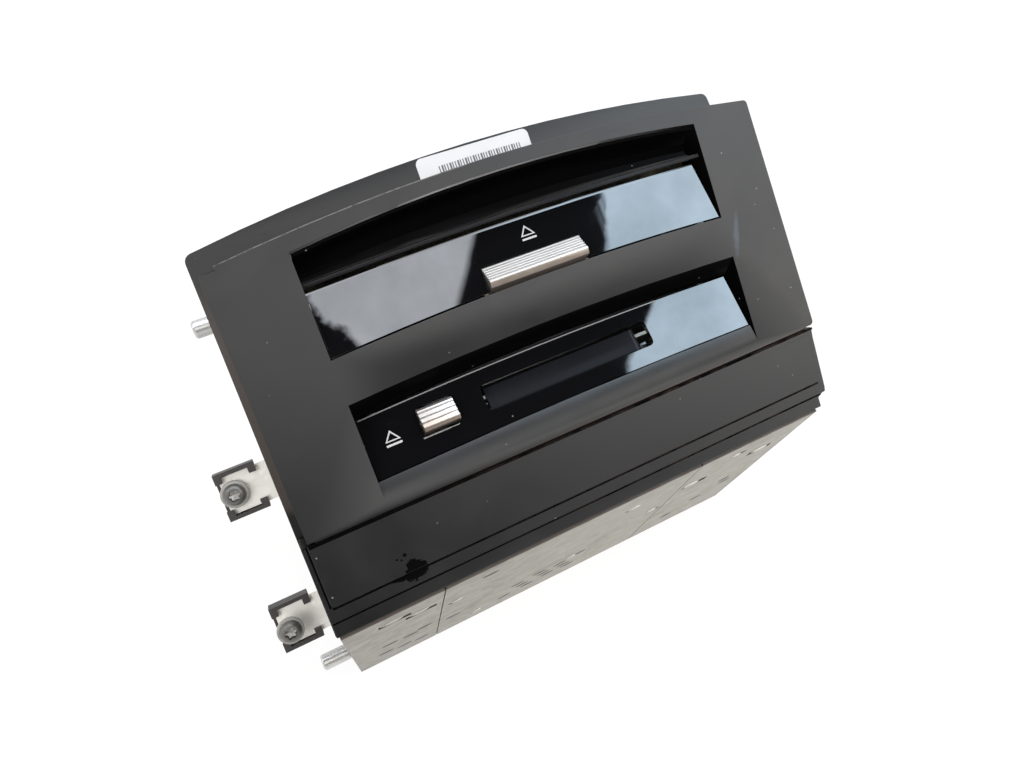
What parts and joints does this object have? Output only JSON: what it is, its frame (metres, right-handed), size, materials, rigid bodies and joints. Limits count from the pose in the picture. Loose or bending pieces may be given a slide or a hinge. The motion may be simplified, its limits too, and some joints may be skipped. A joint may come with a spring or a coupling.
{
  "type": "in-dash disc changer",
  "caption": "Car disc changer with a tilted front face, a disc flap, a card slot, a tray stocker and a swinging drive inside its steel case.",
  "frame": {"origin": "middle of the rear panel's outer face, on which the unit lies", "axes": "+X to the right as seen from the front, +Y towards the top cover, +Z out of the rear panel towards the front face"},
  "size_m": [0.2154, 0.1182, 0.1627],
  "materials": {
    "bezel_plastic": "fine matte grain",
    "gloss_black": "gloss",
    "rail_grey": "satin",
    "silver_paint": "satin",
    "galvanised": "satin",
    "bright_steel": "satin",
    "screw_steel": "satin",
    "clip_black": "matte",
    "board_green": "satin",
    "socket_black": "matte",
    "tray_grey": "satin",
    "gear_white": "satin",
    "rubber": "matte"
  },
  "bodies": {
    "chassis": {"bezel": "bezel_plastic", "lower_cover": "bezel_plastic", "recess_trim": "gloss_black", "flap_rail": "rail_grey", "flap_rod": "bright_steel", "flap_spring": "bright_steel", "card_panel": "gloss_black", "front_board": "board_green", "card_spring": "bright_steel", "card_cage": "galvanised", "chassis_left": "galvanised", "chassis_right": "galvanised", "chassis_bottom": "galvanised", "top_cover": "galvanised", "rear_panel": "galvanised", "deck_plate": "galvanised", "main_board": "board_green", "rear_socket_main": "socket_black", "rear_socket_small": "socket_black", "bracket_left": "bright_steel", "bracket_right": "bright_steel", "clip_upper": "clip_black", "clip_lower": "clip_black", "screw_left_upper": "screw_steel", "screw_left_lower": "screw_steel", "screw_right_upper": "screw_steel", "screw_right_lower": "screw_steel", "guide_pin_upper": "bright_steel", "guide_pin_lower": "bright_steel", "slot_frame": "socket_black", "loading_motor": "bright_steel", "guide_post_front_left": "bright_steel", "guide_post_front_right": "bright_steel", "guide_post_rear_right": "bright_steel", "cam_motor": "bright_steel"},
    "flap": {"flap": "gloss_black"},
    "flap_bar": {"flap_bar": "silver_paint"},
    "card_door": {"card_door": "clip_black"},
    "card_button": {"card_button": "silver_paint", "card_rod": "bright_steel"},
    "card_lever": {"card_lever": "bright_steel"},
    "disc_roller": {"disc_roller": "rubber", "roller_gear": "gear_white"},
    "loading_pinion": {"loading_pinion": "gear_white"},
    "cam_plate": {"cam_plate": "bright_steel"},
    "cam_pinion": {"cam_pinion": "gear_white"},
    "swing_base": {"swing_base": "galvanised", "clamp_arm": "galvanised", "spindle_motor": "bright_steel", "sled_rod": "bright_steel", "sled_motor": "bright_steel"},
    "turntable": {"turntable": "gear_white"},
    "laser_sled": {"laser_sled": "socket_black"},
    "sled_screw": {"sled_screw": "bright_steel"},
    "stocker_tray_1": {"stocker_tray_1": "tray_grey"},
    "stocker_tray_2": {"stocker_tray_2": "tray_grey"},
    "stocker_tray_3": {"stocker_tray_3": "tray_grey"},
    "stocker_tray_4": {"stocker_tray_4": "tray_grey"},
    "stocker_tray_5": {"stocker_tray_5": "tray_grey"},
    "stocker_tray_6": {"stocker_tray_6": "tray_grey"}
  },
  "joints": [
    {"name": "flap_hinge", "type": "hinge", "parent": "chassis", "child": "flap", "pos_m": [0.0048, 0.03405, 0.14131], "axis": [-1, 0, 0], "range_deg": [0, 70], "stiffness_Nm_per_rad": 0.01, "springref_deg": -34.38},
    {"name": "flap_bar_press", "type": "slide", "parent": "flap", "child": "flap_bar", "axis": [0, 0.2079, -0.9781], "range_m": [0, 0.0012], "stiffness_N_per_m": 300, "springref_m": -0.001},
    {"name": "card_door_hinge", "type": "hinge", "parent": "chassis", "child": "card_door", "pos_m": [0.0048, -0.00956, 0.11971], "axis": [-1, 0, 0], "range_deg": [0, 78], "stiffness_Nm_per_rad": 0.002, "springref_deg": -22.92},
    {"name": "card_button_press", "type": "slide", "parent": "chassis", "child": "card_button", "axis": [0, 0, -1], "range_m": [0, 0.003], "stiffness_N_per_m": 300, "springref_m": -0.002, "deforming": ["card_spring"]},
    {"name": "card_lever_hinge", "type": "hinge", "parent": "chassis", "child": "card_lever", "pos_m": [-0.0262, -0.00605, 0.038], "axis": [0, -1, 0], "range_deg": [0, 14.2]},
    {"name": "roller_spin", "type": "hinge", "parent": "chassis", "child": "disc_roller", "pos_m": [0.0048, 0.01695, 0.129], "axis": [1, 0, 0], "continuous": true},
    {"name": "loading_pinion_spin", "type": "hinge", "parent": "chassis", "child": "loading_pinion", "pos_m": [0.0757, 0.00851, 0.12412], "axis": [1, 0, 0], "continuous": true},
    {"name": "cam_slide", "type": "slide", "parent": "chassis", "child": "cam_plate", "axis": [0, 0, -1], "range_m": [0, 0.02]},
    {"name": "cam_pinion_spin", "type": "hinge", "parent": "chassis", "child": "cam_pinion", "pos_m": [0.0798, 0.00525, 0.058], "axis": [-1, 0, 0], "range_deg": [0, 254.65]},
    {"name": "swing_hinge", "type": "hinge", "parent": "chassis", "child": "swing_base", "pos_m": [-0.0742, 0.01875, 0.0135], "axis": [0, 1, 0], "range_deg": [0, 58.19]},
    {"name": "turntable_spin", "type": "hinge", "parent": "swing_base", "child": "turntable", "pos_m": [-0.0742, 0.02145, 0.10646], "axis": [0, 1, 0], "continuous": true},
    {"name": "sled_slide", "type": "slide", "parent": "swing_base", "child": "laser_sled", "axis": [0, 0, -1], "range_m": [0, 0.03]},
    {"name": "sled_screw_spin", "type": "hinge", "parent": "swing_base", "child": "sled_screw", "pos_m": [-0.0648, 0.01715, 0.064], "axis": [0, 0, 1], "range_deg": [0, 1800]},
    {"name": "tray_1_lift", "type": "slide", "parent": "chassis", "child": "stocker_tray_1", "axis": [0, 1, 0], "range_m": [0, 0.0058]},
    {"name": "tray_2_lift", "type": "slide", "parent": "chassis", "child": "stocker_tray_2", "axis": [0, 1, 0], "range_m": [0, 0.0058]},
    {"name": "tray_3_lift", "type": "slide", "parent": "chassis", "child": "stocker_tray_3", "axis": [0, 1, 0], "range_m": [0, 0.0058]},
    {"name": "tray_4_lift", "type": "slide", "parent": "chassis", "child": "stocker_tray_4", "axis": [0, 1, 0], "range_m": [-0.0107, 0]},
    {"name": "tray_5_lift", "type": "slide", "parent": "chassis", "child": "stocker_tray_5", "axis": [0, 1, 0], "range_m": [-0.0152, 0]},
    {"name": "tray_6_lift", "type": "slide", "parent": "chassis", "child": "stocker_tray_6", "axis": [0, 1, 0], "range_m": [-0.0152, 0]}
  ],
  "couplings": [
    {"joint": "card_lever_hinge", "follows": "card_button_press", "rad_per_m": 82},
    {"joint": "loading_pinion_spin", "follows": "roller_spin", "ratio": -1.1667},
    {"joint": "cam_pinion_spin", "follows": "cam_slide", "rad_per_m": 222.22},
    {"joint": "sled_screw_spin", "follows": "sled_slide", "rad_per_m": 1047.2},
    {"joint": "tray_1_lift", "follows": "cam_slide", "ratio": 0.29},
    {"joint": "tray_2_lift", "follows": "cam_slide", "ratio": 0.29},
    {"joint": "tray_3_lift", "follows": "cam_slide", "ratio": 0.29},
    {"joint": "tray_4_lift", "follows": "cam_slide", "ratio": -0.535},
    {"joint": "tray_5_lift", "follows": "cam_slide", "ratio": -0.76},
    {"joint": "tray_6_lift", "follows": "cam_slide", "ratio": -0.76}
  ]
}
